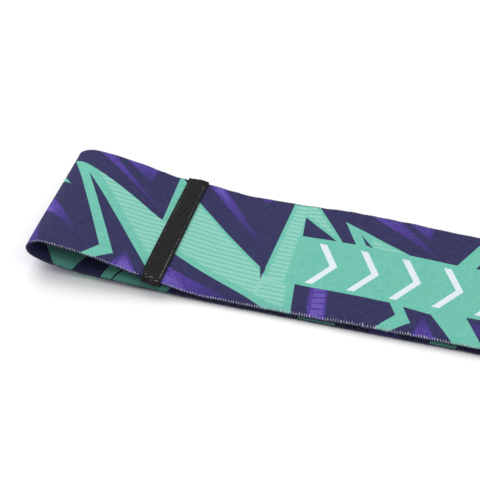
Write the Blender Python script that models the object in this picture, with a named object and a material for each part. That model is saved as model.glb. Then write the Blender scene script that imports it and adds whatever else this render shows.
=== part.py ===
"""A fabric hip resistance band: one wide elastic webbing loop, lying flattened on a surface.

The webbing is a sandwich of two printed faces with latex threads woven in between, and a bound edge
on each side. Its two ends meet in a butt joint near the left fold, under a stitched black tape.
Lengths are in metres, +Z is up, +X runs along the band, and the origin is under the middle of it.
"""

import math
from collections import namedtuple

import bmesh
import bpy
from mathutils import Vector

MM = 0.001

# Driving dimensions
BAND_WIDTH = 80 * MM
FLAT_LENGTH = 380 * MM
CLEARANCE = 0.3 * MM

FACE_THICKNESS = 0.5 * MM
LATEX_THICKNESS = 0.6 * MM
EDGE_BINDING_WIDTH = 0.5 * MM
LATEX_GROUPS = 8

TAPE_WIDTH = 10 * MM
TAPE_THICKNESS = 0.9 * MM
TAPE_REACH = 1.0 * MM
SEAM_FROM_FOLD = 64 * MM
BUTT_GAP = 1.5 * MM

STITCH_LENGTH = 2.4 * MM
STITCH_DIP = 0.3 * MM
THREAD_WIDTH = 0.4 * MM
THREAD_CREST = 0.45 * MM
ROW_FROM_TAPE_EDGE = 1.1 * MM
GROOVE_WIDTH = 1.0 * MM
GROOVE_DEPTH = 0.4 * MM

# Derived dimensions
WEBBING = 2 * FACE_THICKNESS + LATEX_THICKNESS + 2 * CLEARANCE
HALF_WEBBING = WEBBING / 2
HALF_WIDTH = BAND_WIDTH / 2
FACE_HALF_WIDTH = HALF_WIDTH - EDGE_BINDING_WIDTH - CLEARANCE
HALF_LENGTH = FLAT_LENGTH / 2
LOWER_RUN = HALF_WEBBING
UPPER_RUN = LOWER_RUN + WEBBING + CLEARANCE

# The tape's section, across the band, seen from the middle of the webbing
TAPE_INSIDE = HALF_WEBBING + CLEARANCE
TAPE_OUTSIDE = TAPE_INSIDE + TAPE_THICKNESS
TAPE_HALF_REACH = HALF_WIDTH + TAPE_REACH
ROW_OFFSET = TAPE_WIDTH / 2 - ROW_FROM_TAPE_EDGE
ROW_BASE = TAPE_OUTSIDE - GROOVE_DEPTH + 0.2 * MM
ROW_HALF_LENGTH = 38.4 * MM

# The middle line of the webbing, anticlockwise round the loop as seen from the near side.
# heading is the way it runs there, in degrees from +X towards +Z. before and after are the lengths
# of the curve's handles on either side, where 0 is a straight stretch.
Anchor = namedtuple("Anchor", "x z heading before after steps")

SEAM_X = -HALF_LENGTH + SEAM_FROM_FOLD
SEAM_Z = 7.8 * MM
SEAM_HEADING = 171.5
SEAM_STRAIGHT = 8 * MM
LEFT_NOSE_X = -HALF_LENGTH + HALF_WEBBING
RIGHT_NOSE_X = HALF_LENGTH - HALF_WEBBING


def past_seam(distance):
    """A point this far on from the middle of the seam, along the straight stretch that it lies on."""
    turn = math.radians(SEAM_HEADING)
    return SEAM_X + distance * math.cos(turn), SEAM_Z + distance * math.sin(turn)


def anchor(x, z, heading, before=0.0, after=0.0, steps=1):
    """steps counts the facets of the stretch that ends at this anchor."""
    return Anchor(x, z, heading, before, after, steps)


UPPER_SEAM_SIDE = [
    anchor(-CLEARANCE / 2, UPPER_RUN, 180),
    anchor(-80 * MM, UPPER_RUN, 180, after=15 * MM),
    anchor(*past_seam(-SEAM_STRAIGHT), SEAM_HEADING, before=11 * MM, steps=6),
    anchor(*past_seam(-BUTT_GAP / 2), SEAM_HEADING),
]
LEFT_LOOP = [
    anchor(*past_seam(BUTT_GAP / 2), SEAM_HEADING),
    anchor(*past_seam(SEAM_STRAIGHT), SEAM_HEADING, after=14 * MM),
    anchor(LEFT_NOSE_X + 8.4 * MM, 17.4 * MM, 180, before=17 * MM, after=4.6 * MM, steps=9),
    anchor(LEFT_NOSE_X, 12.6 * MM, 270, before=2.7 * MM, after=4.4 * MM, steps=6),
    anchor(-160 * MM, 4.5 * MM, -2, before=19.5 * MM, after=32 * MM, steps=8),
    anchor(-80 * MM, LOWER_RUN, 0, before=20 * MM, steps=7),
    anchor(-CLEARANCE / 2, LOWER_RUN, 0),
]
RIGHT_LOOP = [
    anchor(CLEARANCE / 2, LOWER_RUN, 0),
    anchor(150 * MM, LOWER_RUN, 0, after=22 * MM),
    anchor(RIGHT_NOSE_X, 7.2 * MM, 90, before=4.6 * MM, after=3 * MM, steps=8),
    anchor(RIGHT_NOSE_X - 8 * MM, 12.4 * MM, 180, before=4.6 * MM, after=18 * MM, steps=6),
    anchor(118 * MM, UPPER_RUN, 180, before=20 * MM, steps=9),
    anchor(CLEARANCE / 2, UPPER_RUN, 180),
]
STRETCHES = {"upper": UPPER_SEAM_SIDE, "left_loop": LEFT_LOOP, "right_loop": RIGHT_LOOP}
BODY_OF = {"upper": "seam_end", "left_loop": "seam_end", "right_loop": "far_end"}

Sample = namedtuple("Sample", "point outward")


def direction(degrees):
    return Vector((math.cos(math.radians(degrees)), 0, math.sin(math.radians(degrees))))


def outward_of(along):
    """The side of the loop away from its inside, for a path that runs anticlockwise."""
    return Vector((along.z, 0, -along.x)).normalized()


def sample_path(anchors):
    """Points along a run of anchors, each with the direction that faces out of the loop."""
    start = anchors[0]
    samples = [Sample(Vector((start.x, 0, start.z)), outward_of(direction(start.heading)))]
    for a, b in zip(anchors, anchors[1:]):
        p0, p3 = Vector((a.x, 0, a.z)), Vector((b.x, 0, b.z))
        third = (p3 - p0).length / 3
        p1 = p0 + direction(a.heading) * (a.after or third)
        p2 = p3 - direction(b.heading) * (b.before or third)
        for step in range(1, b.steps + 1):
            t = step / b.steps
            s = 1 - t
            point = s**3 * p0 + 3 * s * s * t * p1 + 3 * s * t * t * p2 + t**3 * p3
            along = s * s * (p1 - p0) + 2 * s * t * (p2 - p1) + t * t * (p3 - p2)
            samples.append(Sample(point, outward_of(along)))
    return samples


def clear_scene():
    for old in list(bpy.data.objects):
        bpy.data.objects.remove(old, do_unlink=True)


def make_material(name, colour, roughness, metallic=0.0):
    material = bpy.data.materials.new(name)
    material.use_nodes = True
    shader = material.node_tree.nodes["Principled BSDF"]
    shader.inputs["Base Color"].default_value = (*colour, 1.0)
    shader.inputs["Roughness"].default_value = roughness
    shader.inputs["Metallic"].default_value = metallic
    return material


def add_piece(name, mesh_edit, parent, material):
    """Turns a bmesh in world space into a named object under its body's empty."""
    bmesh.ops.recalc_face_normals(mesh_edit, faces=mesh_edit.faces)
    offset = parent.location
    bmesh.ops.translate(mesh_edit, verts=mesh_edit.verts, vec=-offset)
    mesh = bpy.data.meshes.new(name)
    mesh_edit.to_mesh(mesh)
    mesh_edit.free()
    mesh.materials.append(material)
    mesh.shade_smooth()
    mesh.set_sharp_from_angle(angle=math.radians(35))
    piece = bpy.data.objects.new(name, mesh)
    bpy.context.scene.collection.objects.link(piece)
    piece.parent = parent
    return piece


def strip_between(low, high, depth):
    """A solid from a ribbon of faces between two matching point rows, extruded by depth."""
    mesh_edit = bmesh.new()
    low_verts = [mesh_edit.verts.new(point) for point in low]
    high_verts = [mesh_edit.verts.new(point) for point in high]
    for i in range(len(low) - 1):
        mesh_edit.faces.new((low_verts[i], low_verts[i + 1], high_verts[i + 1], high_verts[i]))
    pushed = bmesh.ops.extrude_face_region(mesh_edit, geom=mesh_edit.faces[:], use_keep_orig=True)
    moved = [item for item in pushed["geom"] if isinstance(item, bmesh.types.BMVert)]
    bmesh.ops.translate(mesh_edit, verts=moved, vec=depth)
    return mesh_edit


def layer(name, samples, inner, outer, y_from, y_to, parent, material):
    """One layer of the webbing, between two distances from its middle line and two from its side."""
    across = Vector((0, y_from, 0))
    low = [sample.point + sample.outward * inner + across for sample in samples]
    high = [sample.point + sample.outward * outer + across for sample in samples]
    mesh_edit = strip_between(low, high, Vector((0, y_to - y_from, 0)))
    return add_piece(name, mesh_edit, parent, material)


def webbing_layers(place, samples, parent, materials):
    """The faces, latex groups and bound edges of one stretch of webbing."""
    half_latex = LATEX_THICKNESS / 2
    face_inside = half_latex + CLEARANCE
    side = FACE_HALF_WIDTH
    for name, inner, outer, material in (
        ("outer_face", face_inside, HALF_WEBBING, materials["print"]),
        ("inner_face", -HALF_WEBBING, -face_inside, materials["lining"]),
    ):
        layer(f"{name}_{place}", samples, inner, outer, -side, side, parent, material)
    pitch = (2 * side + CLEARANCE) / LATEX_GROUPS
    for group in range(LATEX_GROUPS):
        low_y = -side + group * pitch
        name = f"latex_threads_{group + 1}_{place}"
        high_y = low_y + pitch - CLEARANCE
        layer(name, samples, -half_latex, half_latex, low_y, high_y, parent, materials["latex"])
    for name, sign in (("near_edge_binding", -1), ("far_edge_binding", 1)):
        sides = sorted((sign * (HALF_WIDTH - EDGE_BINDING_WIDTH), sign * HALF_WIDTH))
        layer(f"{name}_{place}", samples, -HALF_WEBBING, HALF_WEBBING, *sides, parent, materials["edge"])


def seam_point(along, across, height):
    """A point in the seam's own directions: along the tape's width, across the band, out of the loop."""
    forward = -direction(SEAM_HEADING)
    outward = outward_of(direction(SEAM_HEADING))
    return Vector((SEAM_X, across, SEAM_Z)) + forward * along + outward * height


def tape_section(along, half_height, half_reach, corner):
    """A rounded rectangle round the webbing, at one place along the tape's width."""
    points = []
    for quarter in range(4):
        centre_y = (half_reach - corner) * (1, -1, -1, 1)[quarter]
        centre_v = (half_height - corner) * (1, 1, -1, -1)[quarter]
        for step in range(4):
            turn = math.radians(90 * quarter + 30 * step)
            y, v = centre_y + corner * math.cos(turn), centre_v + corner * math.sin(turn)
            points.append(seam_point(along, y, v))
    return points


def seam_tape(parent, material):
    """A sleeve of folded tape with four shallow grooves, where the stitch rows pull it down."""
    half = TAPE_WIDTH / 2
    rounding = 0.3 * MM
    groove_near = ROW_OFFSET - GROOVE_WIDTH / 2
    groove_far = ROW_OFFSET + GROOVE_WIDTH / 2
    right_side = [
        (groove_near - 0.1 * MM, 0.0),
        (groove_near, GROOVE_DEPTH),
        (groove_far, GROOVE_DEPTH),
        (groove_far + 0.1 * MM, 0.0),
        (half - rounding, 0.0),
        (half, rounding),
    ]
    stations = [(-along, drop) for along, drop in reversed(right_side)] + right_side
    corner = 1.1 * MM
    rings = [
        tape_section(along, TAPE_OUTSIDE - drop, TAPE_HALF_REACH, corner) for along, drop in stations
    ]
    for along in (half, -half):
        rings.append(tape_section(along, TAPE_INSIDE, HALF_WIDTH + CLEARANCE, corner / 2))
    mesh_edit = bmesh.new()
    loops = [[mesh_edit.verts.new(point) for point in ring] for ring in rings]
    for first, second in zip(loops, loops[1:] + loops[:1]):
        for i in range(len(first)):
            mesh_edit.faces.new((first[i - 1], first[i], second[i], second[i - 1]))
    return add_piece("seam_tape", mesh_edit, parent, material)


def stitch_outline(half_length):
    """Places along a stitch row, each with how far the thread stands there: it dips between stitches."""
    count = round(2 * half_length / STITCH_LENGTH)
    pitch = 2 * half_length / count
    for stitch in range(count):
        start = -half_length + stitch * pitch
        yield start, THREAD_CREST - STITCH_DIP
        yield start + 0.25 * pitch, THREAD_CREST
        yield start + 0.75 * pitch, THREAD_CREST
    yield half_length, THREAD_CREST - STITCH_DIP


def stitch_row(name, along, side, parent, material):
    """A row of lockstitch in its groove, on the tape's outside (side 1) or underside (side -1)."""
    edge = along - THREAD_WIDTH / 2
    outline = list(stitch_outline(ROW_HALF_LENGTH))
    low = [seam_point(edge, y, side * ROW_BASE) for y, _ in outline]
    high = [seam_point(edge, y, side * (ROW_BASE + height)) for y, height in outline]
    depth = seam_point(THREAD_WIDTH, 0, 0) - seam_point(0, 0, 0)
    return add_piece(name, strip_between(low, high, depth), parent, material)


def end_tack(parent, material):
    """The few stitches that hold the tape's folded end down, across the tape by the near edge."""
    across = -HALF_WIDTH + 3 * MM
    base = TAPE_OUTSIDE + 0.2 * MM
    outline = list(stitch_outline(2.4 * MM))
    low = [seam_point(along, across, base) for along, _ in outline]
    high = [seam_point(along, across, base + height) for along, height in outline]
    mesh_edit = strip_between(low, high, Vector((0, THREAD_WIDTH, 0)))
    return add_piece("near_end_tack", mesh_edit, parent, material)


def butt_joint(parent, material):
    """The seam that joins the webbing's two cut ends, as a stitched bar in the gap between them."""
    width = BUTT_GAP - 2 * CLEARANCE
    outline = list(stitch_outline(FACE_HALF_WIDTH))
    low, high = [], []
    for y, height in outline:
        reach = HALF_WEBBING - THREAD_CREST + height
        low.append(seam_point(-width / 2, y, -reach))
        high.append(seam_point(-width / 2, y, reach))
    depth = seam_point(width, 0, 0) - seam_point(0, 0, 0)
    return add_piece("butt_joint_stitching", strip_between(low, high, depth), parent, material)


def make_bodies():
    """An empty for each half of the band. The far half's is on the line that the band stretches along."""
    places = {"seam_end": (SEAM_X, 0, 0), "far_end": (0, 0, UPPER_RUN / 2)}
    bodies = {}
    for name, place in places.items():
        body = bpy.data.objects.new(name, None)
        body.location = place
        bpy.context.scene.collection.objects.link(body)
        bodies[name] = body
    return bodies


def main():
    clear_scene()
    materials = {
        "print": make_material("printed_face", (0.041, 0.041, 0.114), 0.85),
        "lining": make_material("inner_face", (0.181, 0.571, 0.418), 0.85),
        "edge": make_material("edge_binding", (0.22, 0.21, 0.36), 0.9),
        "latex": make_material("latex", (0.62, 0.48, 0.30), 0.6),
        "tape": make_material("black_tape", (0.030, 0.030, 0.033), 0.8),
        "thread": make_material("pale_thread", (0.55, 0.56, 0.50), 0.6),
    }
    bodies = make_bodies()
    for place, anchors in STRETCHES.items():
        webbing_layers(place, sample_path(anchors), bodies[BODY_OF[place]], materials)
    seam_end = bodies["seam_end"]
    butt_joint(seam_end, materials["thread"])
    seam_tape(seam_end, materials["tape"])
    for side_name, side in (("top", 1), ("under", -1)):
        stitch_row(f"left_stitch_row_{side_name}", -ROW_OFFSET, side, seam_end, materials["thread"])
        stitch_row(f"right_stitch_row_{side_name}", ROW_OFFSET, side, seam_end, materials["thread"])
    end_tack(seam_end, materials["thread"])


main()
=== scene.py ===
"""The looks of a printed fabric resistance band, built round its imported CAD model.

The band is one strip of webbing, sewn end to end under a black tape and lying folded flat. Every piece is
placed in the strip's own coordinates, in millimetres: along it from the seam, across it from its near edge,
and outwards from the middle of its thickness. strip_to_world turns those into metres in the CAD's frame.
Every piece but the tape and its threads runs once round the whole strip.
"""

from math import cos, pi, radians, sin  # noqa: E402

import bpy  # noqa: E402
import numpy as np  # noqa: E402
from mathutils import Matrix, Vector  # noqa: E402


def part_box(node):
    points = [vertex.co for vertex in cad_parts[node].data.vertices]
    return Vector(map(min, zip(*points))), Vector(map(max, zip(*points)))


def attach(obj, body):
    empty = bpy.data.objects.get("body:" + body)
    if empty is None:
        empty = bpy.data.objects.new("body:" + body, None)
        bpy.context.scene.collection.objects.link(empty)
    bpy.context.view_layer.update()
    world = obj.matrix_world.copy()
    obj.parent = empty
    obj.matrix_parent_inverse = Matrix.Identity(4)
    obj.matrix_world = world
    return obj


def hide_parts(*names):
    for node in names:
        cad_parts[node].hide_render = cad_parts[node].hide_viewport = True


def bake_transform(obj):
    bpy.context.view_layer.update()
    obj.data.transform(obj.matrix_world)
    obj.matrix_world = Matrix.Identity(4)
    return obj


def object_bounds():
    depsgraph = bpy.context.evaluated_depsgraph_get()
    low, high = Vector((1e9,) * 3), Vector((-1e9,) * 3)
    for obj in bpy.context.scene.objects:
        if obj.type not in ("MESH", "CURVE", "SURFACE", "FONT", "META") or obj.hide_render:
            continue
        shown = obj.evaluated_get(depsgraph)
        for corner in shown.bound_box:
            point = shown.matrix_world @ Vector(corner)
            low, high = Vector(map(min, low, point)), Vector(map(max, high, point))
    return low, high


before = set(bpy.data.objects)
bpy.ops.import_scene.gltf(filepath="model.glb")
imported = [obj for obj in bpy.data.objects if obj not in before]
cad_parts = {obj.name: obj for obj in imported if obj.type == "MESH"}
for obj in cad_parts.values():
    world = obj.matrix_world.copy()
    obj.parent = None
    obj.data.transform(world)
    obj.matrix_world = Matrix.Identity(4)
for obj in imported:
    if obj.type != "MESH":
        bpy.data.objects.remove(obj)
cad_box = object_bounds()
MM = 0.001
FOLD_X = cad_box[0][0] / MM  # the outside of the left fold
HALF_LENGTH = -FOLD_X
seam_low, seam_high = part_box("seam_tape")
tape_middle = (seam_low + seam_high) / 2 / MM

# ---------------------------------------------------------------- camera
AZIMUTH, ELEVATION = radians(16.3), radians(39.2)
CAMERA_DISTANCE = 1.028
LOOKED_AT = Vector((-0.095, 0.011, 0.0))
back = Vector((sin(AZIMUTH) * cos(ELEVATION), -cos(AZIMUTH) * cos(ELEVATION), sin(ELEVATION)))
camera_data = bpy.data.cameras.new("camera")
camera_data.sensor_width = 36
camera_data.lens = 152.5
camera_data.clip_start = 0.01
camera = bpy.data.objects.new("camera", camera_data)
bpy.context.scene.collection.objects.link(camera)
camera.location = LOOKED_AT + CAMERA_DISTANCE * back
camera.rotation_euler = back.to_track_quat("Z", "Y").to_euler()
bpy.context.scene.camera = camera

# ---------------------------------------------------------------- the strip
WIDTH = 80.0
LENGTH = 764.3  # once round the middle of the webbing
HALF_THICKNESS = 1.1
CLOTH = 0.5  # the thickness of each printed cloth
SEAM_FROM_FOLD = tape_middle.x - FOLD_X
SEAM_GAP = 1.5  # between the strip's two cut ends, under the tape
FAR_FOLD = 2 * HALF_LENGTH  # the outside of the right fold, from the left one
LOWER_RUN = 1.25  # the height of the webbing's middle where it lies on the floor
STEPS = 6000  # the even steps that each edge line is cut into
STEP_PLACES = np.linspace(0, LENGTH, STEPS + 1)


def bend(x, z, heading, before=None, after=None):
    """A point that an edge of the strip passes: x from the left fold, its height, and which way it heads.

    before and after are how far the line keeps that heading, by default a third of the way to the next.
    """
    return x, z, radians(heading), before, after


# Each edge from the seam along the top layer to the right fold, back along the floor, and over the left fold.
NEAR_EDGE = [
    bend(SEAM_FROM_FOLD, 7.0, -17, 4, 4),
    bend(92, 3.9, -2, 9, 12),
    bend(190, 3.75, 0),
    bend(308, 3.75, 0, after=20),
    bend(FAR_FOLD - 9.2, 12.6, 0, 18, 4.6),
    bend(FAR_FOLD - HALF_THICKNESS, 7.3, -90, 3, 4.6),
    bend(FAR_FOLD - 40, LOWER_RUN, 180, 22, 30),
    bend(112, LOWER_RUN, 180, after=16),
    bend(27, 4.2, 175, 20, 15),
    bend(0.9, 13.4, 90, 5.0, 2.6),
    bend(9.0, 18.2, -2, 4.4, 17),
]
FAR_EDGE = [
    bend(SEAM_FROM_FOLD, 8.4, -4, 4, 5),
    bend(86, 5.5, -7, 7, 6),
    bend(112, 5.0, 0, 8, 8),
    bend(152, 6.4, 0, 12, 14),
    bend(204, 4.6, -2, 12),
    bend(308, 3.8, 0, after=20),
    bend(FAR_FOLD - 9.2, 12.0, 0, 18, 4.6),
    bend(FAR_FOLD - HALF_THICKNESS, 7.0, -90, 3, 4.6),
    bend(FAR_FOLD - 40, LOWER_RUN, 180, 22, 30),
    bend(112, LOWER_RUN, 180, after=20),
    bend(30, 3.9, 177, 22, 17),
    bend(0.2, 12.2, 90, 4.4, 3.0),
    bend(9.8, 16.8, -2, 4.6, 13),
    bend(48, 9.6, -16, 12, 6),
]


def edge_line(bends):
    """The closed line through these bends, as rows of x and z at even steps of its length."""
    line = []
    for here, there in zip(bends, bends[1:] + bends[:1]):
        start, end = np.array(here[:2]), np.array(there[:2])
        third = np.linalg.norm(end - start) / 3
        leaving = third if here[4] is None else here[4]
        arriving = third if there[3] is None else there[3]
        first = start + leaving * np.array((cos(here[2]), sin(here[2])))
        second = end - arriving * np.array((cos(there[2]), sin(there[2])))
        t = np.linspace(0, 1, 400, endpoint=False)[:, None]
        from_start = (1 - t) ** 3 * start + 3 * (1 - t) ** 2 * t * first
        from_end = 3 * (1 - t) * t**2 * second + t**3 * end
        line.append(from_start + from_end)
    line = np.concatenate([*line, line[0][:1]])
    walked = np.concatenate([[0], np.cumsum(np.linalg.norm(np.diff(line, axis=0), axis=1))])
    even = np.linspace(0, walked[-1], STEPS + 1)
    return np.stack([np.interp(even, walked, line[:, k]) for k in (0, 1)], axis=1)


def heading_of(line):
    """The way the line heads at each of its steps, as unit rows."""
    reach = 8  # steps to each side
    ahead, behind = np.roll(line[:-1], -reach, axis=0), np.roll(line[:-1], reach, axis=0)
    way = ahead - behind
    way = np.concatenate([way, way[:1]])
    return way / np.linalg.norm(way, axis=1)[:, None]


near_line, far_line = edge_line(NEAR_EDGE), edge_line(FAR_EDGE)
near_heading, far_heading = heading_of(near_line), heading_of(far_line)
WAVE_HEIGHT, FRILL_HEIGHT = 0.10, 0.11
FULL_RIPPLE_AT = 4.5  # below this height the ripple is smaller, so that the lower run lies flat


def ripple(along, across):
    """The slight unevenness of sewn webbing: soft waves all over, and a frill along its two edges.

    Each wave comes a whole number of times round the loop, and it slants a little across the strip.
    """
    edge = np.abs(across / WIDTH - 0.5) * 2
    turn = 2 * pi * along / LENGTH
    waves = np.sin(23 * turn + 1.1 + across / 19) + 0.6 * np.sin(41 * turn - across / 13)
    frill = np.sin(67 * turn + 2.0 * np.sin(9 * turn)) * edge**6
    return WAVE_HEIGHT * waves + FRILL_HEIGHT * frill


DROOP_HEIGHT, DROOP_WIDTH = 1.4, 3.0
DROOP_PLACES = (8, 24, 75, 105, 200, 250)  # from the seam, along the upper run
DROOP_SHARES = (0, 1, 1, 0.5, 0.5, 0)


def droop(along, across):
    """How far the near edge of the upper run bends down, to lie close to the edge below it."""
    share = np.interp(along, DROOP_PLACES, DROOP_SHARES)
    return DROOP_HEIGHT * share * np.exp(-((across / DROOP_WIDTH) ** 2))


def strip_to_world(points):
    """Rows of (along, across, outwards) in millimetres, as rows of metres in the CAD's frame."""
    along, across, outwards = np.asarray(points, float).T
    share = np.clip(across / WIDTH, 0, 1)[:, None]

    def mixed(near, far):
        columns = []
        for k in (0, 1):
            a = np.interp(along, STEP_PLACES, near[:, k], period=LENGTH)
            b = np.interp(along, STEP_PLACES, far[:, k], period=LENGTH)
            columns.append(a + (b - a) * share[:, 0])
        return np.stack(columns, axis=1)

    middle = mixed(near_line, far_line)
    heading = mixed(near_heading, far_heading)
    heading /= np.linalg.norm(heading, axis=1)[:, None]
    out = outwards + ripple(along, across) * np.minimum(1, middle[:, 1] / FULL_RIPPLE_AT)
    out -= droop(along, across)
    x = middle[:, 0] - heading[:, 1] * out + FOLD_X
    z = middle[:, 1] + heading[:, 0] * out
    return np.stack([x, across - WIDTH / 2, z], axis=1) * MM


def places_along(longest, turn):
    """Places from one cut end of the strip to the other: steps of at most this length and this turn."""
    angle = np.unwrap(np.arctan2(near_heading[:, 1], near_heading[:, 0]))
    cost = np.cumsum(LENGTH / STEPS / longest + np.abs(np.gradient(angle)) / radians(turn))
    first, last = np.interp((SEAM_GAP / 2, LENGTH - SEAM_GAP / 2), STEP_PLACES, cost)
    return np.interp(np.linspace(first, last, int(last - first) + 2), cost, STEP_PLACES)


# ---------------------------------------------------------------- mesh code
def skin(rows, count):
    """The faces round this many rows of count points each, with the first and last rows capped."""
    faces = []
    for row in range(rows - 1):
        base = row * count
        for i in range(count):
            j = (i + 1) % count
            faces.append((base + i, base + j, base + count + j, base + count + i))
    last = (rows - 1) * count
    faces.append(tuple(range(count - 1, -1, -1)))
    faces.append(tuple(range(last, last + count)))
    return faces


def loft(section, places):
    """A closed (across, outwards) section swept along the strip, with its two ends capped."""
    section = np.array(section, float)
    points = [np.column_stack([np.full(len(section), place), section]) for place in places]
    return np.concatenate(points), skin(len(places), len(section))


def tube(path, radius, sides=5, taper=0.55):
    """A thread along rows of (along, across, outwards), a little thinner at its two ends."""
    path = np.array(path, float)
    way = np.gradient(path, axis=0)
    way /= np.linalg.norm(way, axis=1)[:, None]
    reference = np.eye(3)[np.argmin(np.abs(way).sum(axis=0))]
    side = np.cross(way, reference)
    side /= np.linalg.norm(side, axis=1)[:, None]
    up = np.cross(way, side)
    thickness = np.full(len(path), float(radius))
    thickness[[0, -1]] *= taper
    rings = []
    for k in range(sides):
        angle = 2 * pi * k / sides
        rings.append(path + thickness[:, None] * (cos(angle) * side + sin(angle) * up))
    return np.stack(rings, axis=1).reshape(-1, 3), skin(len(path), sides)


def piece(name, parts, material, shades=None):
    """One object from parts in strip coordinates. Each part may have a shade from 0, dark, to 1, pale.

    Its UV map holds the strip coordinates along and across, in metres, for the shaders.
    """
    points, faces, shade, start = [], [], [], 0
    for number, (part_points, part_faces) in enumerate(parts):
        points.append(part_points)
        faces += [tuple(corner + start for corner in face) for face in part_faces]
        shade.append(np.full(len(part_points), 0.5 if shades is None else shades[number]))
        start += len(part_points)
    points, shade = np.concatenate(points), np.concatenate(shade)
    mesh = bpy.data.meshes.new(name)
    mesh.from_pydata(strip_to_world(points).tolist(), [], faces)
    strip_map = mesh.uv_layers.new(name="strip")
    corners = np.zeros(len(mesh.loops), np.int32)
    mesh.loops.foreach_get("vertex_index", corners)
    strip_map.data.foreach_set("uv", (points[corners, :2] * MM).astype(np.float32).ravel())
    mesh.attributes.new("shade", "FLOAT", "POINT").data.foreach_set("value", shade.astype(np.float32))
    mesh.polygons.foreach_set("use_smooth", np.ones(len(mesh.polygons), bool))
    mesh.materials.append(material)
    mesh.update()
    made = bpy.data.objects.new(name, mesh)
    bpy.context.scene.collection.objects.link(made)
    return made


def bends_with_the_strip(made):
    """Bakes the piece's placing into its mesh, which already follows the strip's bends."""
    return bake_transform(made)


# ---------------------------------------------------------------- shader code
def tone(red, green, blue):
    """An sRGB colour from 0 to 255, as the linear colour that a shader takes."""
    share = [value / 255 for value in (red, green, blue)]
    return (*(s / 12.92 if s <= 0.04045 else ((s + 0.055) / 1.055) ** 2.4 for s in share), 1.0)


class Shader:
    """One material's nodes. place is (along, across, 1) in millimetres, for masks made of straight edges."""

    def __init__(self, name, roughness=0.8, sheen=0.0, specular=0.3):
        self.material = bpy.data.materials.new(name)
        self.material.use_nodes = True
        self.tree = self.material.node_tree
        self.surface = self.tree.nodes["Principled BSDF"]
        self.surface.inputs["Roughness"].default_value = roughness
        self.surface.inputs["Sheen Weight"].default_value = sheen
        self.surface.inputs["Specular IOR Level"].default_value = specular
        strip_map = self.add("ShaderNodeUVMap")
        strip_map.uv_map = "strip"
        parts = self.add("ShaderNodeSeparateXYZ", Vector=strip_map.outputs[0])
        self.along = self.math("MULTIPLY", parts.outputs[0], 1000)
        self.across = self.math("MULTIPLY", parts.outputs[1], 1000)
        self.place = self.vector(self.along, self.across, 1)

    def add(self, kind, **values):
        """A node of this kind, with its named inputs set to numbers or linked to sockets."""
        node = self.tree.nodes.new(kind)
        for name, value in values.items():
            self.feed(node.inputs[name], value)
        return node

    def feed(self, socket, value):
        """Links a socket to the input, or sets it to a number or a colour."""
        if isinstance(value, bpy.types.NodeSocket):
            self.tree.links.new(value, socket)
        else:
            socket.default_value = value

    def math(self, operation, first, second=0.0, clamp=False):
        node = self.add("ShaderNodeMath")
        node.operation, node.use_clamp = operation, clamp
        self.feed(node.inputs[0], first)
        self.feed(node.inputs[1], second)
        return node.outputs[0]

    def vector(self, x, y, z):
        return self.add("ShaderNodeCombineXYZ", X=x, Y=y, Z=z).outputs[0]

    def dot(self, x, y, constant):
        """x times along, plus y times across, plus the constant."""
        node = self.add("ShaderNodeVectorMath")
        node.operation = "DOT_PRODUCT"
        self.feed(node.inputs[0], self.place)
        node.inputs[1].default_value = (x, y, constant)
        return node.outputs["Value"]

    def inside(self, corners):
        """How far a place is inside this convex outline, in millimetres, and below 0 outside it."""
        corners = [Vector(corner) for corner in corners]
        area = sum(a.x * b.y - b.x * a.y for a, b in zip(corners, corners[1:] + corners[:1]))
        if area < 0:
            corners.reverse()
        depth = None
        for start, end in zip(corners, corners[1:] + corners[:1]):
            way = (end - start).normalized()
            side = self.dot(-way.y, way.x, way.y * start.x - way.x * start.y)
            depth = side if depth is None else self.math("MINIMUM", depth, side)
        return depth

    def inside_any(self, outlines):
        """How far a place is inside the outlines together."""
        depth = self.inside(outlines[0])
        for outline in outlines[1:]:
            depth = self.math("MAXIMUM", depth, self.inside(outline))
        return depth

    def scaled(self, value, low, high, to_low=0.0, to_high=1.0):
        """The value's way from low to high, as the way from to_low to to_high, and no further."""
        node = self.add("ShaderNodeMapRange")
        for number, setting in enumerate((value, low, high, to_low, to_high)):
            self.feed(node.inputs[number], setting)
        return node.outputs[0]

    def mask(self, depth, soft=0.12):
        """1 inside and 0 outside, with an edge that is soft over this many millimetres to each side."""
        return self.scaled(depth, -soft, soft)

    def mix(self, share, under, over, blend="MIX"):
        """One colour over another. A mix node takes its two colours at 6 and 7, and gives one at 2."""
        node = self.tree.nodes.new("ShaderNodeMix")
        node.data_type, node.blend_type = "RGBA", blend
        self.feed(node.inputs[0], share)
        self.feed(node.inputs[6], under)
        self.feed(node.inputs[7], over)
        return node.outputs[2]

    def noise(self, size, detail=2.0, stretch=(1, 1, 1)):
        """Noise with features of about this many millimetres, stretched along each direction."""
        scaled = self.add("ShaderNodeVectorMath")
        scaled.operation = "MULTIPLY"
        self.feed(scaled.inputs[0], self.place)
        scaled.inputs[1].default_value = tuple(1 / (size * s) for s in stretch)
        node = self.add("ShaderNodeTexNoise", Scale=1.0, Detail=detail, Vector=scaled.outputs[0])
        return node.outputs["Fac"]

    def wave(self, value, pitch):
        """From 0 to 1 and back every pitch millimetres."""
        turned = self.math("MULTIPLY", value, 2 * pi / pitch)
        return self.scaled(self.math("SINE", turned), -1, 1)

    def bump(self, height, depth):
        """Raises the surface by this many millimetres where height is 1."""
        node = self.add("ShaderNodeBump", Height=height, Distance=depth * MM, Strength=1.0)
        self.tree.links.new(node.outputs[0], self.surface.inputs["Normal"])

    def finish(self, colour):
        """Takes the colour and gives the finished material."""
        self.tree.links.new(colour, self.surface.inputs["Base Color"])
        return self.material


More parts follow.
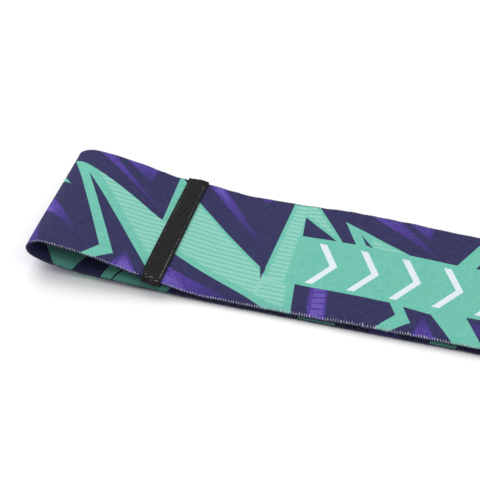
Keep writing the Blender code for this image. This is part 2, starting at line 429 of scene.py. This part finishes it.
# ---------------------------------------------------------------- the print
NAVY, NAVY_WORN = tone(49, 42, 86), tone(54, 59, 96)
PURPLE, LILAC = tone(77, 55, 146), tone(111, 92, 182)
MINT, MINT_WORN, PALE_MINT = tone(101, 184, 165), tone(119, 196, 177), tone(145, 205, 190)
# The second colour here is painted shade, for where the cloth rounds over at its edges.
WHITE, EDGE_PAINTED_SHADE = tone(222, 233, 238), tone(26, 25, 46)
KNIT_COLUMN, KNIT_STITCH, KNIT_LEAN = 0.9, 0.75, 1.1
REPEAT = LENGTH / 3  # the print comes three times round the band
REPEAT_START = -75  # along the strip from the seam, on the left fold's nose

SHARED_EDGE = 0.15  # how far bolts grow, so that two that share an edge leave no line between them

# Outlines of the print, in millimetres along the strip from the seam and across it from its near edge.
# Those that run off an edge of the strip end about 1 mm past it, and those that run under the tape end there.
MINT_BOLTS = [
    ((-59.4, 49.9), (-74.5, 70.0), (-74.5, 60.4)),  # a shard on the fold
    ((-63.4, 70.6), (-30.0, 10.0), (-22.5, 8.0), (-57.3, 67.8)),  # the left bolt's narrow leg
    ((-30.0, 10.0), (-37.3, -1.0), (-31.5, -1.0), (-22.5, 8.0)),  # its foot
    ((-60.2, 69.2), (-4.0, 6.3), (-4.0, 41.2), (-28.3, 54.3)),  # its wide arm
    ((-9.3, 81.0), (-7.5, 41.0), (-3.0, 39.0), (-3.0, 75.0)),  # the spike beside the tape
    ((-4.0, 72.6), (-4.0, 26.9), (61.3, -1.4), (62.0, 15.3)),  # the right bolt's body
    ((50.0, 18.0), (50.0, 3.6), (61.3, -1.4), (71.0, -1.4), (67.6, 21.0)),  # where its arms meet
    ((50.8, 18.5), (64.0, 18.5), (64.0, 81.0), (52.4, 81.0)),  # its upright arm
    ((60.0, 81.0), (60.0, 55.2), (83.2, 55.2), (64.4, 81.0)),  # the arm's right half
    ((62.0, 19.7), (168.0, 19.2), (175.0, 55.5), (62.0, 55.5)),  # the panel
    ((81.2, 71.0), (90.3, 55.2), (118.5, 55.0)),  # the spike on the panel
    ((115.0, 20.0), (120.0, 11.5), (127.7, 7.8), (120.9, 20.0)),  # the zigzag under the panel
    ((120.0, 11.5), (111.3, -1.0), (117.5, -1.0), (127.7, 7.8)),
    ((120.9, 20.0), (121.0, 18.3), (136.2, 16.4), (152.0, 16.4), (152.0, 20.0)),  # the panel's edge beyond it
    ((136.2, 16.4), (151.1, -1.0), (165.0, -1.0), (152.0, 20.0), (136.2, 20.0)),  # the slanted bar under it
    ((141.0, 55.0), (152.0, 81.0), (160.0, 81.0), (150.0, 55.0)),  # the slanted bar over it
]
NAVY_CUTS = [
    ((48.2, 27.0), (50.8, 18.2), (51.2, 27.0)),
    ((60.3, 70.5), (62.4, 55.8), (80.0, 55.8)),
    ((90.8, 63.6), (94.6, 56.8), (98.5, 55.6)),
]
# Each hatched outline, then how far its stripes rise for each millimetre along.
HATCHED = [
    (((-49.5, 64.4), (-3.0, 12.4), (-3.0, 41.4)), 0.08),
    (((4.0, 64.0), (4.0, 27.0), (52.0, 6.8), (52.0, 22.0)), -0.075),
    (((50.5, 22.0), (50.5, 7.4), (58.5, 3.8), (66.5, 2.6), (64.3, 18.0)), -0.05),
    (((53.0, 18.0), (62.5, 18.0), (59.8, 81.0), (54.2, 81.0)), -0.02),
    (((60.5, 80.0), (63.8, 80.0), (77.5, 60.0), (60.5, 72.0)), 0.05),
    (((96.0, 62.8), (99.0, 56.6), (114.5, 56.0)), 0.0),
]
STRIPE_PITCH = 3.1
# Each purple outline, where it is strongest and where it has faded, and its colour.
FLASHES = [
    (((-56.5, 81.6), (-48.1, 81.6), (-9.0, 49.0)), (-50, 80), (8, 38), PURPLE),
    (((-41.5, 81.0), (-21.5, 81.0), (-22.0, 68.3)), (-30, 82), (-22, 60), PURPLE),
    (((-68.0, 43.0), (-68.0, 29.0), (-44.0, 14.0)), (-62, 30), (-42, 12), PURPLE),
    (((-69.0, 35.0), (-69.0, 29.0), (-55.0, 23.5)), (-66, 30), (-54, 23), LILAC),
    (((-74.5, 28.0), (-67.0, 26.0), (-57.5, -1.0), (-74.5, -1.0)), (-68, 5), (-52, 8), PURPLE),
    (((-17.0, 13.5), (-22.0, -1.0), (-7.0, -1.0)), (-15, 0), (-17, 18), PURPLE),
    (((-16.5, 10.0), (-18.5, -1.0), (-8.5, -1.0)), (-13, 0), (-16, 12), LILAC),
    (((4.5, 81.0), (13.8, 81.0), (26.0, 67.3), (45.5, 43.0)), (9, 80), (54, 32), PURPLE),
    (((8.0, 81.0), (12.0, 81.0), (24.0, 66.0)), (10, 81), (24, 65), LILAC),
    (((33.0, 81.0), (41.5, 81.0), (38.5, 75.5)), (38, 81), (38, 73), PURPLE),
    (((4.0, 13.0), (16.0, 9.2), (47.0, -1.0), (4.0, -1.0)), (8, 2), (50, 2), PURPLE),
    (((4.0, 7.5), (4.0, -1.0), (21.0, -1.0), (15.0, 4.0)), (2, 3), (22, 1), LILAC),
    (((75.5, 20.0), (78.6, -1.0), (88.0, -1.0), (84.6, 20.0)), (82, 0), (80, 60), PURPLE),
    (((132.8, 14.2), (130.3, -1.0), (142.3, -1.0)), (136, 0), (132, 18), PURPLE),
    (((89.5, 81.0), (105.0, 81.0), (120.3, 68.3), (131.5, 58.0)), (98, 80), (138, 54), PURPLE),
    (((110.0, 81.0), (124.6, 81.0), (124.4, 69.8)), (119, 82), (125, 60), PURPLE),
    (((164.0, 81.0), (176.0, 81.0), (140.0, 62.0)), (172, 81), (140, 62), PURPLE),
    (((152.0, 16.0), (170.0, -1.0), (178.0, 14.0)), (176, 6), (150, 16), PURPLE),
]
RUNGS = ((78.0, 19.2), (80.6, -1.0), (86.8, -1.0), (83.4, 19.2))  # the pale rungs below the panel
RUNG_PITCH, RUNG_OFFSET = 4.1, -1.9
CHEVRON_START, CHEVRON_PITCH, CHEVRON_TIP = 70, 21, 13  # along: the first space, each space, the tip in it
CHEVRON_MIDDLE, CHEVRON_HALF_HEIGHT = 37, 15  # across
CHEVRON_LEAN, CHEVRON_HALF_STROKE = 0.6, 1.9
CHEVRON_WINDOW = ((69, 0), (172, 0), (172, 80), (69, 80))

# The inside's print, in millimetres from the left fold's nose and back along the floor, and across.
INSIDE_ZERO = -75  # the nose's place along the strip
INSIDE_START = -20
INSIDE_BOLTS = [
    ((8.0, -1.0), (16.0, -1.0), (27.0, 30.0), (-15.0, 28.0)),
    ((31.2, -1.0), (36.2, -1.0), (44.0, 18.0), (36.0, 18.0)),
    ((37.4, -1.0), (65.0, -1.0), (78.0, 30.0), (62.0, 52.0), (46.0, 18.0)),
    ((62.0, 52.0), (78.0, 30.0), (96.0, 81.0), (86.0, 81.0)),
    ((132.0, -1.0), (150.0, -1.0), (146.0, 30.0), (118.0, 50.0)),
    ((118.0, 50.0), (146.0, 30.0), (128.0, 81.0), (116.0, 81.0)),
    ((158.0, 81.0), (188.0, 81.0), (164.0, 28.0)),
    ((196.0, -1.0), (208.0, -1.0), (226.0, 44.0), (204.0, 52.0)),
    ((204.0, 52.0), (226.0, 44.0), (214.0, 81.0), (206.0, 81.0)),
]
INSIDE_FLASHES = [
    (((20.0, 81.0), (34.0, 81.0), (58.0, 50.0)), (26, 81), (60, 48), PURPLE),
    (((92.0, 30.0), (102.0, 7.0), (120.0, 7.0)), (110, 5), (92, 32), PURPLE),
    (((172.0, 20.0), (166.0, -1.0), (182.0, -1.0)), (174, -1), (172, 24), PURPLE),
]


def repeated(shader, zero, direction, start):
    """The place along one repeat of the print: measured from zero, and from start to start plus REPEAT."""
    measured = shader.math("MULTIPLY", shader.math("SUBTRACT", shader.along, zero), direction)
    wrapped = shader.math("FLOORED_MODULO", shader.math("SUBTRACT", measured, start), REPEAT)
    return shader.math("ADD", wrapped, start)


def knit(shader):
    """Columns of small V-shaped stitches along the strip: 0 in the grooves between them, 1 on top."""
    column = shader.math("PINGPONG", shader.across, KNIT_COLUMN / 2)
    leaning = shader.math("ADD", shader.along, shader.math("MULTIPLY", column, KNIT_LEAN))
    stitches = shader.math("MULTIPLY", shader.wave(leaning, KNIT_STITCH), 0.65)
    ridges = shader.math("MULTIPLY", shader.wave(shader.across, KNIT_COLUMN), 0.35)
    return shader.math("ADD", stitches, ridges)


def with_flashes(shader, colour, flashes):
    """Purple flashes that fade along their length, with paler flecks where they are strong."""
    fleck = shader.scaled(shader.noise(1.1, detail=3, stretch=(1.8, 0.8, 1)), 0.46, 0.6)
    for outline, strong, weak, purple in flashes:
        way = Vector(weak) - Vector(strong)
        way /= way.length_squared
        faded = shader.dot(-way.x, -way.y, 1 + way.dot(Vector(strong)))
        share = shader.math("MULTIPLY", shader.mask(shader.inside(outline), 0.5), faded, clamp=True)
        colour = shader.mix(share, colour, purple)
        lit = shader.math("MULTIPLY", shader.math("POWER", share, 3), fleck)
        colour = shader.mix(shader.math("MULTIPLY", lit, 0.75), colour, LILAC)
    return colour


def with_rungs(shader, colour):
    """The row of pale purple rungs below the panel."""
    gap = shader.wave(shader.dot(-0.2, 1, RUNG_OFFSET), RUNG_PITCH)
    share = shader.math("MULTIPLY", shader.mask(shader.inside(RUNGS), 0.4), shader.scaled(gap, 0.1, 0.3))
    return shader.mix(shader.math("MULTIPLY", share, 0.75), colour, LILAC)


def with_hatching(shader, colour, depth):
    """Pale stripes in the mint bolts, which are as deep as depth says."""
    for outline, rise in HATCHED:
        stripes = shader.scaled(shader.wave(shader.dot(-rise, 1, 0), STRIPE_PITCH), 0.25, 0.65, 0.2, 1.0)
        hatched_depth = shader.math("MINIMUM", shader.inside(outline), depth)
        share = shader.math("MULTIPLY", shader.mask(hatched_depth, 0.5), stripes)
        colour = shader.mix(share, colour, PALE_MINT)
    return colour


def with_chevrons(shader, colour):
    """The row of white chevrons on the panel."""
    first = shader.math("SUBTRACT", shader.dot(1, 0, 0), CHEVRON_START)
    local = shader.math("FLOORED_MODULO", first, CHEVRON_PITCH)
    height = shader.math("ABSOLUTE", shader.dot(0, 1, -CHEVRON_MIDDLE))
    leaning = shader.math("ADD", local, shader.math("MULTIPLY", height, CHEVRON_LEAN))
    from_tip = shader.math("ABSOLUTE", shader.math("SUBTRACT", leaning, CHEVRON_TIP))
    stroke = shader.math("SUBTRACT", CHEVRON_HALF_STROKE, from_tip)
    tall = shader.math("SUBTRACT", CHEVRON_HALF_HEIGHT, height)
    marks = shader.math("MINIMUM", shader.math("MINIMUM", stroke, tall), shader.inside(CHEVRON_WINDOW))
    return shader.mix(shader.mask(marks), colour, WHITE)


def printed_cloth(name, placing, bolts, flashes, outer, painted_shade_factor=1.0):
    """Cloth with the print dyed in. placing is where the print's zero is, its direction and its start.

    Only the outer cloth has cuts in its bolts, hatching, rungs and chevrons. The last argument, below 1,
    makes
    every colour darker: painted shade for the side that faces in, which lies in shade inside the folds.
    """
    shader = Shader(name, roughness=0.85, sheen=0.03, specular=0.12)
    patches = shader.math("ADD", shader.noise(1.7, 3, (1.2, 0.9, 1)), shader.noise(0.7, 2))
    worn = shader.scaled(patches, 0.72, 1.28)
    colour = shader.mix(worn, NAVY, NAVY_WORN)
    shader.place = shader.vector(repeated(shader, *placing), shader.across, 1)
    colour = with_flashes(shader, colour, flashes)
    depth = shader.math("ADD", shader.inside_any(bolts), SHARED_EDGE)
    if outer:
        colour = with_rungs(shader, colour)
        depth = shader.math("MINIMUM", depth, shader.math("MULTIPLY", shader.inside_any(NAVY_CUTS), -1))
    colour = shader.mix(shader.mask(depth), colour, shader.mix(worn, MINT, MINT_WORN))
    if outer:
        colour = with_hatching(shader, colour, depth)
        colour = with_chevrons(shader, colour)
    # The last 0.2 mm at each edge, where the cloth rounds over, turns very dark navy: painted shade.
    from_middle = shader.math("ABSOLUTE", shader.math("SUBTRACT", shader.across, WIDTH / 2))
    colour = shader.mix(shader.scaled(from_middle, WIDTH / 2 - 0.2, WIDTH / 2), colour, EDGE_PAINTED_SHADE)
    stitches = knit(shader)
    # Painted shade: the colour is darker in the grooves between the knit's stitches, and darker as a whole by
    # the last argument.
    shade = shader.scaled(stitches, 0.1, 0.9, 0.86 * painted_shade_factor, 1.06 * painted_shade_factor)
    colour = shader.mix(1.0, colour, shader.vector(shade, shade, shade), "MULTIPLY")
    shader.bump(stitches, 0.07)
    return shader.finish(colour)


outer_cloth = printed_cloth("outer_printed_cloth", (0, 1, REPEAT_START), MINT_BOLTS, FLASHES, True)
inside_placing = (INSIDE_ZERO, -1, INSIDE_START)
# The inner cloth's colours are scaled to 0.72: painted shade for the shade inside the folds.
inner_cloth = printed_cloth("inner_printed_cloth", inside_placing, INSIDE_BOLTS, INSIDE_FLASHES, False, 0.72)

# ---------------------------------------------------------------- other materials
rubber = Shader("latex", roughness=0.5, specular=0.4)
rubber.bump(rubber.noise(0.4), 0.05)
cloudy = rubber.noise(1.5, 3, (3, 1, 1))
latex = rubber.finish(rubber.mix(cloudy, tone(206, 180, 138), tone(224, 202, 164)))


def thread(name, dark, pale):
    """Twisted sewing thread, from dark to pale by each stitch's own shade and a few flecks."""
    shader = Shader(name, roughness=0.6, sheen=0.1)
    shade = shader.add("ShaderNodeAttribute")
    shade.attribute_name = "shade"
    flecks = shader.scaled(shader.noise(0.35, 2), 0.3, 0.7, -0.12, 0.12)
    share = shader.math("ADD", shade.outputs["Fac"], flecks, clamp=True)
    slanted = shader.math("ADD", shader.along, shader.math("MULTIPLY", shader.across, 1.4))
    shader.bump(shader.wave(slanted, 0.42), 0.05)
    return shader.finish(shader.mix(share, dark, pale))


overlock = thread("overlock_thread", tone(40, 39, 72), tone(222, 226, 242))
tape_thread = thread("tape_thread", tone(22, 22, 24), tone(160, 158, 144))

ribbon = Shader("black_tape", roughness=0.75, sheen=0.0, specular=0.15)
twill = ribbon.wave(ribbon.math("ADD", ribbon.along, ribbon.math("MULTIPLY", ribbon.across, 0.8)), 0.7)
rib = ribbon.wave(ribbon.across, 0.55)
ribbon.bump(ribbon.math("ADD", twill, ribbon.math("MULTIPLY", rib, 0.6)), 0.05)
streaks = ribbon.math("ADD", ribbon.noise(0.5, 3, (0.6, 8, 1)), ribbon.noise(1.0, 4))
tape_grey = ribbon.mix(ribbon.scaled(streaks, 0.7, 1.3), tone(12, 12, 14), tone(37, 37, 40))
lint = ribbon.scaled(ribbon.noise(0.45, 2), 0.66, 0.76, 0.0, 0.4)
black_tape = ribbon.finish(ribbon.mix(lint, tape_grey, tone(120, 120, 118)))

# ---------------------------------------------------------------- the printed cloths
# The shown side and the hidden side of each cloth, from the edge inwards, as across and outwards. The inner
# cloth slopes up to the outer one over the last few millimetres, where the webbing holds no latex.
OUTER_SHOWN = [(0.0, 0.42), (0.02, 0.68), (0.14, 0.9), (0.45, 1.05)]
OUTER_SHOWN += [(y, HALF_THICKNESS) for y in (1.0, 2.0, 3.0, 4.1)]
OUTER_HIDDEN = [(0.3, 0.45), (0.5, 0.57)]
OUTER_HIDDEN += [(y, HALF_THICKNESS - CLOTH) for y in (1.2, 2.4, 3.6, 5.0)]
INNER_SHOWN = [(0.0, 0.38), (0.02, 0.2), (0.18, 0.06), (0.6, -0.05), (1.6, -0.36), (2.8, -0.8), (3.9, -1.03)]
INNER_HIDDEN = [(0.3, 0.36), (1.2, 0.2), (3.0, -0.3), (4.8, CLOTH - HALF_THICKNESS)]
FLAT_FROM = 5.2  # how far from the edge both cloths are flat


def cloth_section(edge_shown, edge_hidden, height):
    """A cloth's closed section: its shown side from edge to edge, then its hidden one back again."""
    inwards = 1 if height > 0 else -1
    middle = [(y, height) for y in np.linspace(FLAT_FROM, WIDTH - FLAT_FROM, 25)]
    shown = [*edge_shown, *middle, *[(WIDTH - y, h) for y, h in reversed(edge_shown)]]
    middle = [(WIDTH * k / 5, height - inwards * CLOTH) for k in (1, 2, 3, 4)]
    hidden = [*edge_hidden, *middle, *[(WIDTH - y, h) for y, h in reversed(edge_hidden)]]
    section = shown + hidden[::-1]
    return section[::-1] if height > 0 else section


cloth_places = places_along(2.6, 7)
outer_section = cloth_section(OUTER_SHOWN, OUTER_HIDDEN, HALF_THICKNESS)
inner_section = cloth_section(INNER_SHOWN, INNER_HIDDEN, -HALF_THICKNESS)
outer_face = piece("printed_outer_cloth", [loft(outer_section, cloth_places)], outer_cloth)
inner_face = piece("printed_inner_cloth", [loft(inner_section, cloth_places)], inner_cloth)

# ---------------------------------------------------------------- the latex threads
GROUPS, THREADS_PER_GROUP = 8, 4
CORE_FROM_EDGE = 5.4
LATEX_HALF_WIDTH, LATEX_HALF_HEIGHT = 0.34, 0.4
core_places = places_along(5.0, 12)
latex_parts = []
for middle in np.linspace(CORE_FROM_EDGE, WIDTH - CORE_FROM_EDGE, GROUPS * THREADS_PER_GROUP):
    corners = [(LATEX_HALF_WIDTH * cos(a), LATEX_HALF_HEIGHT * sin(a)) for a in np.arange(4) * pi / 2]
    latex_parts.append(loft([(middle + y, h) for y, h in corners], core_places))
latex_core = piece("latex_core", latex_parts, latex)

# ---------------------------------------------------------------- the overlocked edges
LOOP_PITCH = 0.65
EDGE_THREAD = 0.17  # the radius of the dark loops' thread
TAPE_HALF_WIDTH = 5.2
rng = np.random.default_rng(7)


def overlock_edge(name, far):
    """Dark loops of thread round one edge, with a pale stitch on the outer face between each two."""
    parts, shades = [], []

    def stitch(along, lean, path, radius, shade):
        leans = np.linspace(-lean, lean, len(path))
        path = [(along + d, WIDTH - y if far else y, h) for d, (y, h) in zip(leans, path)]
        parts.append(tube(path, radius, sides=4))
        shades.append(shade)

    count = 2 * int(LENGTH / LOOP_PITCH / 2)
    for number in range(count):
        along = (number + 0.5 + rng.uniform(-0.2, 0.2)) * LENGTH / count
        loose = (0.5 + 0.5 * sin(6 * pi * along / LENGTH - 0.9)) ** 2
        top = 0.5 + rng.uniform(0.0, 0.35) + loose * rng.uniform(0.2, 1.5)
        under, lean = rng.uniform(0.7, 1.2), rng.uniform(0.05, 0.2)
        shade = rng.uniform(0.0, 0.25) if far else 0.4 + 0.6 * float(rng.beta(1.5, 1.2))
        if min(along, LENGTH - along) < TAPE_HALF_WIDTH + 0.5:
            continue
        if number % 2:
            short = [(top, 1.12), (top / 2, 1.2), (0.14, 1.1), (0.0, 0.92)]
            stitch(along, lean, short, 0.15 + 0.07 * shade, shade)
        else:
            loop = [(0.6, 1.1), (0.12, 1.0), (-0.06, 0.72), (-0.07, 0.4), (0.12, 0.04), (under, -0.24)]
            stitch(along, lean, loop, EDGE_THREAD, rng.uniform(0.0, 0.12))
    return piece(name, parts, overlock, shades)


near_overlock = overlock_edge("near_overlock", False)
far_overlock = overlock_edge("far_overlock", True)

# ---------------------------------------------------------------- the tape over the seam
TAPE_THICKNESS = 0.8
SLEEVE = 1.4  # from the middle of the webbing to the tape's inside
SLEEVE_END = 1.3  # where the tape starts to turn round an edge, from that edge
END_BULGE = 0.5  # how much fatter the tape is where it turns round an edge
ROWS = (-3.9, 3.9)  # the two rows of stitches
STITCH_PITCH, STITCH_LENGTH = 1.8, 1.25
GROOVE_WIDTH, GROOVE_DEPTH, GROOVE_CHANGE = 0.42, 0.18, 0.06  # where the stitches pull the tape in
TURNED_UNDER = 3.7  # how far from the near edge the turned-under end makes the tape thicker


def on_tape(along, across, outwards):
    """A place on the tape, which is sewn on a little askew.

    It is narrower at its far end and at its near left corner.
    """
    share = across / WIDTH
    corner = 0.09 * (TAPE_HALF_WIDTH - along) * np.exp(-max(across, 0.0) / 3)
    return along * (1.05 - 0.06 * share) + 0.05 + 0.4 * share + corner, across, outwards


def sleeve_ring():
    """Rows round the webbing: across, outwards, and the way out from there as across and outwards."""
    flat = np.arange(SLEEVE_END, WIDTH - SLEEVE_END, 0.6)
    turn = np.linspace(0, pi, 14)[1:-1]
    ring = [(y, SLEEVE, 0.0, 1.0) for y in flat]
    ring += [(WIDTH - SLEEVE_END + SLEEVE * sin(a), SLEEVE * cos(a), sin(a), cos(a)) for a in turn]
    ring += [(y, -SLEEVE, 0.0, -1.0) for y in flat[::-1]]
    ring += [(SLEEVE_END - SLEEVE * sin(a), -SLEEVE * cos(a), -sin(a), -cos(a)) for a in turn]
    return np.array(ring)


def tape_bulk(along, across, top):
    """The tape's thickness at a place, before its stitches pull it in."""
    edge = min(1.0, (TAPE_HALF_WIDTH - abs(along)) / 0.35)
    bulk = TAPE_THICKNESS * (0.45 + 0.55 * max(edge, 0.0) ** 0.5)
    bulk += 0.05 * sin(across / 3.1 + along) + 0.04 * sin(across / 1.7 - 2 * along)
    for from_edge in (across, WIDTH - across):
        bulk += END_BULGE * np.exp(-((max(from_edge, 0.0) / 2.4) ** 2))
    if top:
        bulk += 0.3 / (1 + np.exp((across - TURNED_UNDER) * 6))
    return bulk


def tape_parts():
    """The tape as one closed sleeve: an outside and an inside, joined along its two edges."""
    ring = sleeve_ring()
    outside = [-5.2, -5.1, -4.85, -4.5, -4.2, -3.9, -3.65, -3.4, -3.0, -2.2, -1.1, 0.0]
    outside += [-a for a in reversed(outside[:-1])]
    inside = [5.1, 2.5, 0.0, -2.5, -5.1]
    points, faces, count = [], [], len(outside) + len(inside)
    for y, h, out_y, out_h in ring:
        for along in outside:
            groove = sum(np.exp(-(((along - row) / GROOVE_WIDTH) ** 2)) for row in ROWS)
            pulled = GROOVE_DEPTH + GROOVE_CHANGE * cos(2 * pi * y / STITCH_PITCH)
            d = tape_bulk(along, y, out_h > 0.5) - groove * pulled
            points.append(on_tape(along, y + out_y * d, h + out_h * d))
        points += [on_tape(along, y, h) for along in inside]
    for row in range(len(ring)):
        base, after = row * count, (row + 1) % len(ring) * count
        for i in range(count):
            j = (i + 1) % count
            faces.append((base + i, after + i, after + j, base + j))
    return np.array(points), faces


tape = piece("folded_seam_tape", [tape_parts()], black_tape)


def stitch_row(name, row, side, shade_at):
    """One row of stitches along the tape, on its top (side 1) or underneath (side -1)."""
    parts, shades = [], []
    for number in range(int((WIDTH - 2) / STITCH_PITCH)):
        middle = 1.6 + number * STITCH_PITCH + rng.uniform(-0.1, 0.1)
        surface = SLEEVE + tape_bulk(row, middle, side > 0) - 0.14
        slant = rng.uniform(-0.16, 0.16)
        path = []
        for t in np.linspace(-1, 1, 7):
            height = surface + 0.17 * (1 - t**4) - 0.12 * abs(t)
            path.append(on_tape(row + slant * t, middle + STITCH_LENGTH / 2 * t, side * height))
        parts.append(tube(path, 0.19, sides=6))
        shades.append(float(np.clip(shade_at(middle) + rng.uniform(-0.25, 0.25), 0, 1)))
    return piece(name, parts, tape_thread, shades)


def pale_near(middle):
    """The right row shows pale thread at its near end, and darker thread along the rest."""
    return 0.68 if middle < 24 else 0.2


def mostly_dark(middle):
    """The other rows show dark thread, a little less so at the far end."""
    return 0.22 if middle > 70 else 0.05


stitch_rows = [
    stitch_row("left_needle_thread", ROWS[0], 1, mostly_dark),
    stitch_row("left_bobbin_thread", ROWS[0], -1, mostly_dark),
    stitch_row("right_needle_thread", ROWS[1], 1, pale_near),
    stitch_row("right_bobbin_thread", ROWS[1], -1, mostly_dark),
]


# Each stitch that holds the tape's turned-under end: where it starts and ends along the strip, how far round
# the near edge it is at both, in degrees, and its shade.
TACK_STITCHES = [
    (-4.3, -2.3, 12, 18, 0.25),
    (-1.6, 0.8, 20, 31, 0.75),
    (2.1, 3.9, 41, 47, 0.7),
    (-3.6, -1.6, 36, 42, 0.3),
    (-0.6, 1.3, 48, 54, 0.2),
]


def tack():
    """The few loose stitches on the tape's rounded near end."""
    parts, shades = [], []
    for start, end, first_turn, last_turn, shade in TACK_STITCHES:
        path = []
        for t in np.linspace(0, 1, 7):
            along = start + (end - start) * t
            angle = radians(first_turn + (last_turn - first_turn) * t + 6 * sin(2 * pi * t) * (1 - t))
            bulk = tape_bulk(along, SLEEVE_END - SLEEVE * sin(angle), True)
            out = SLEEVE + bulk + 0.12 * sin(pi * t) - 0.05
            path.append(on_tape(along, SLEEVE_END - out * sin(angle), out * cos(angle)))
        parts.append(tube(path, 0.18, sides=6))
        shades.append(shade)
    return piece("end_tack_thread", parts, tape_thread, shades)


end_tack = tack()


def butt_joint():
    """Zigzag stitches on both faces, under the tape, that hold the strip's two cut ends together."""
    reach, pitch, radius = 2.4, 1.3, 0.1
    parts = []
    for side in (1, -1):
        turns = np.arange(2.0, WIDTH - 2, pitch)
        path = [(reach if k % 2 else -reach, y, side * 1.16) for k, y in enumerate(turns)]
        parts.append(tube(path, radius, sides=4))
    return piece("zigzag_joint_thread", parts, tape_thread, [0.3, 0.3])


zigzag = butt_joint()

# ---------------------------------------------------------------- which piece stands for which CAD node
STRETCHES = ("upper", "left_loop", "right_loop")


def stands_for(made, *starts):
    """The piece replaces the CAD nodes with these names in each stretch of the strip."""
    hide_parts(*[f"{start}_{stretch}" for start in starts for stretch in STRETCHES])
    bends_with_the_strip(made)


stands_for(outer_face, "outer_face")
stands_for(inner_face, "inner_face")
stands_for(latex_core, *[f"latex_threads_{group + 1}" for group in range(GROUPS)])
stands_for(near_overlock, "near_edge_binding")
stands_for(far_overlock, "far_edge_binding")
sewn_nodes = [
    "left_stitch_row_top",
    "left_stitch_row_under",
    "right_stitch_row_top",
    "right_stitch_row_under",
    "near_end_tack",
    "butt_joint_stitching",
    "seam_tape",
]
for made, node in zip([*stitch_rows, end_tack, zigzag, tape], sewn_nodes):
    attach(made, "seam_end")
    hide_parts(node)

# ---------------------------------------------------------------- floor and light
floor_mesh = bpy.data.meshes.new("floor")
floor_mesh.from_pydata([(-3, -3, 0), (3, -3, 0), (3, 3, 0), (-3, 3, 0)], [], [(0, 1, 2, 3)])
floor = bpy.data.objects.new("floor", floor_mesh)
floor.location.z = -0.0003  # just below the lowest stitch
bpy.context.scene.collection.objects.link(floor)
floor_paint = bpy.data.materials.new("pale_floor")
floor_paint.use_nodes = True
floor_surface = floor_paint.node_tree.nodes["Principled BSDF"]
floor_surface.inputs["Base Color"].default_value = (0.95, 0.95, 0.95, 1)
floor_surface.inputs["Roughness"].default_value = 0.9
floor_mesh.materials.append(floor_paint)

world = bpy.data.worlds.new("soft_white")
bpy.context.scene.world = world
world.use_nodes = True
background = world.node_tree.nodes["Background"]
background.inputs["Color"].default_value = (1, 1, 1, 1)
background.inputs["Strength"].default_value = 0.58


def soft_light(name, place, size, power):
    """A square studio light at this place, facing the middle of the band."""
    data = bpy.data.lights.new(name, "AREA")
    data.shape, data.size, data.energy = "SQUARE", size, power
    light = bpy.data.objects.new(name, data)
    bpy.context.scene.collection.objects.link(light)
    light.location = place
    light.rotation_euler = (Vector(place) - LOOKED_AT).to_track_quat("Z", "Y").to_euler()


soft_light("key", (-0.8, 0.55, 1.35), 1.3, 17)
soft_light("fill", (0.9, -0.7, 1.4), 1.3, 6)
bpy.context.scene.view_settings.view_transform = "Standard"
